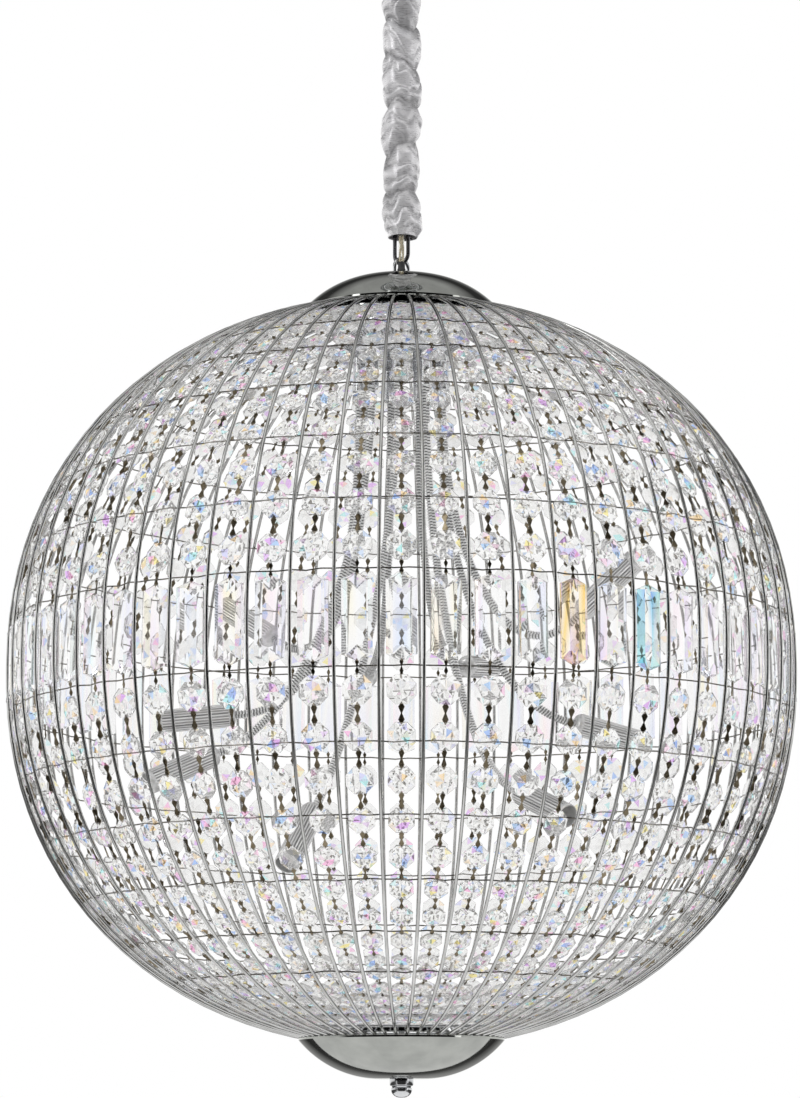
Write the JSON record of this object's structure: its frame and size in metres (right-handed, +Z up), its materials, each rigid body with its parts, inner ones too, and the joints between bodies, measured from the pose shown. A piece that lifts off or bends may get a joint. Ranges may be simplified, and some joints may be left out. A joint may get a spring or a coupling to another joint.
{
  "type": "crystal globe pendant light",
  "caption": "Globe pendant of chrome meridian rods dressed with octagon and prism crystals, with small lamps on flexible necks inside, hung by a chain in a gathered sleeve.",
  "frame": {"origin": "on the ceiling plane, midway between the two screws of the bracket", "axes": "+Z up, +X along the two ceiling screws, the pictured front faces -Y"},
  "size_m": [0.4994, 0.4994, 0.7677],
  "materials": {
    "chrome": "polished",
    "bronze_wire": "polished",
    "crystal": "faceted, clear with a coloured sheen",
    "dark_metal": "satin",
    "zinc_steel": "zinc plated",
    "silk": "gathered silk",
    "clear_cable": "clear jacket",
    "black_plastic": "matte",
    "white_plastic": "matte",
    "ceramic": "ceramic, satin"
  },
  "bodies": {
    "ceiling_fitting": {"mounting_bracket": "zinc_steel", "bracket_nuts": "zinc_steel", "canopy": "chrome", "canopy_nuts": "chrome", "canopy_loop": "chrome", "lamp_driver": "white_plastic", "terminal_block": "white_plastic", "cable_head": "clear_cable"},
    "top_link": {"top_chain_link": "dark_metal"},
    "chain": {"chain_links": "dark_metal", "chain_sleeve": "silk", "supply_cable": "clear_cable"},
    "globe": {"cable_tail": "clear_cable", "cord_gland": "black_plastic", "suspension_loop": "chrome", "hub_nuts": "zinc_steel", "cap_washer": "dark_metal", "top_cap": "chrome", "upper_collar": "chrome", "arm_hub": "chrome", "hub_bowl": "chrome", "junction_block": "white_plastic", "arm_ferrules": "chrome", "goosenecks": "chrome", "rib_cage": "chrome", "spacer_rings": "bronze_wire", "crystal_prisms": "crystal", "upper_crystal_strands": "crystal", "lower_crystal_strands": "crystal", "lower_collar": "chrome", "bottom_crossbar": "zinc_steel", "bottom_stud": "zinc_steel"},
    "bottom_cap": {"bottom_cap": "chrome"},
    "finial": {"finial": "chrome"},
    "lamp_01": {"lamp_cover_01": "chrome", "lamp_socket_01": "ceramic"},
    "lamp_02": {"lamp_cover_02": "chrome", "lamp_socket_02": "ceramic"},
    "lamp_03": {"lamp_cover_03": "chrome", "lamp_socket_03": "ceramic"},
    "lamp_04": {"lamp_cover_04": "chrome", "lamp_socket_04": "ceramic"},
    "lamp_05": {"lamp_cover_05": "chrome", "lamp_socket_05": "ceramic"},
    "lamp_06": {"lamp_cover_06": "chrome", "lamp_socket_06": "ceramic"},
    "lamp_07": {"lamp_cover_07": "chrome", "lamp_socket_07": "ceramic"},
    "lamp_08": {"lamp_cover_08": "chrome", "lamp_socket_08": "ceramic"},
    "lamp_09": {"lamp_cover_09": "chrome", "lamp_socket_09": "ceramic"}
  },
  "joints": [
    {"name": "top_link_swing", "type": "hinge", "parent": "ceiling_fitting", "child": "top_link", "pos_m": [0, 0, -0.0455], "axis": [0.7071, -0.7071, 0], "range_deg": [-12, 12], "deforming": ["cable_head"]},
    {"name": "chain_swing", "type": "hinge", "parent": "top_link", "child": "chain", "pos_m": [0, 0, -0.0692], "axis": [0.7071, 0.7071, 0], "range_deg": [-12, 12], "deforming": ["chain_sleeve", "supply_cable"]},
    {"name": "globe_swing", "type": "hinge", "parent": "chain", "child": "globe", "pos_m": [0, 0, -0.2344], "axis": [0.7071, -0.7071, 0], "range_deg": [-12, 12], "deforming": ["cable_tail"]},
    {"name": "cap_drop", "type": "slide", "parent": "globe", "child": "bottom_cap", "axis": [0, 0, -1], "range_m": [0, 0.06]},
    {"name": "finial_turn", "type": "hinge", "parent": "bottom_cap", "child": "finial", "pos_m": [0, 0, -0.76017], "axis": [0, 0, 1], "continuous": true},
    {"name": "lamp_tilt_01", "type": "hinge", "parent": "globe", "child": "lamp_01", "pos_m": [0.06243, 0.02562, -0.49119], "axis": [-0.3746, 0.9272, 0], "range_deg": [-12, 12], "deforming": ["goosenecks"]},
    {"name": "lamp_tilt_02", "type": "hinge", "parent": "globe", "child": "lamp_02", "pos_m": [0.02336, 0.05683, -0.46693], "axis": [-0.9272, 0.3746, 0], "range_deg": [-12, 12], "deforming": ["goosenecks"]},
    {"name": "lamp_tilt_03", "type": "hinge", "parent": "globe", "child": "lamp_03", "pos_m": [-0.012, 0.05471, -0.46356], "axis": [-0.9781, -0.2079, 0], "range_deg": [-12, 12], "deforming": ["goosenecks"]},
    {"name": "lamp_tilt_04", "type": "hinge", "parent": "globe", "child": "lamp_04", "pos_m": [-0.04721, 0.03642, -0.46915], "axis": [-0.6157, -0.788, 0], "range_deg": [-12, 12], "deforming": ["goosenecks"]},
    {"name": "lamp_tilt_05", "type": "hinge", "parent": "globe", "child": "lamp_05", "pos_m": [-0.05582, -0.00061, -0.4947], "axis": [0, -1, 0], "range_deg": [-12, 12], "deforming": ["goosenecks"]},
    {"name": "lamp_tilt_06", "type": "hinge", "parent": "globe", "child": "lamp_06", "pos_m": [-0.0653, -0.03182, -0.50764], "axis": [0.4067, -0.9135, 0], "range_deg": [-12, 12], "deforming": ["goosenecks"]},
    {"name": "lamp_tilt_07", "type": "hinge", "parent": "globe", "child": "lamp_07", "pos_m": [-0.02978, -0.0575, -0.52565], "axis": [0.866, -0.5, 0], "range_deg": [-12, 12], "deforming": ["goosenecks"]},
    {"name": "lamp_tilt_08", "type": "hinge", "parent": "globe", "child": "lamp_08", "pos_m": [0.03988, -0.05165, -0.52894], "axis": [0.788, 0.6157, 0], "range_deg": [-12, 12], "deforming": ["goosenecks"]},
    {"name": "lamp_tilt_09", "type": "hinge", "parent": "globe", "child": "lamp_09", "pos_m": [0.0682, -0.01827, -0.47221], "axis": [0.2588, 0.9659, 0], "range_deg": [-12, 12], "deforming": ["goosenecks"]}
  ]
}
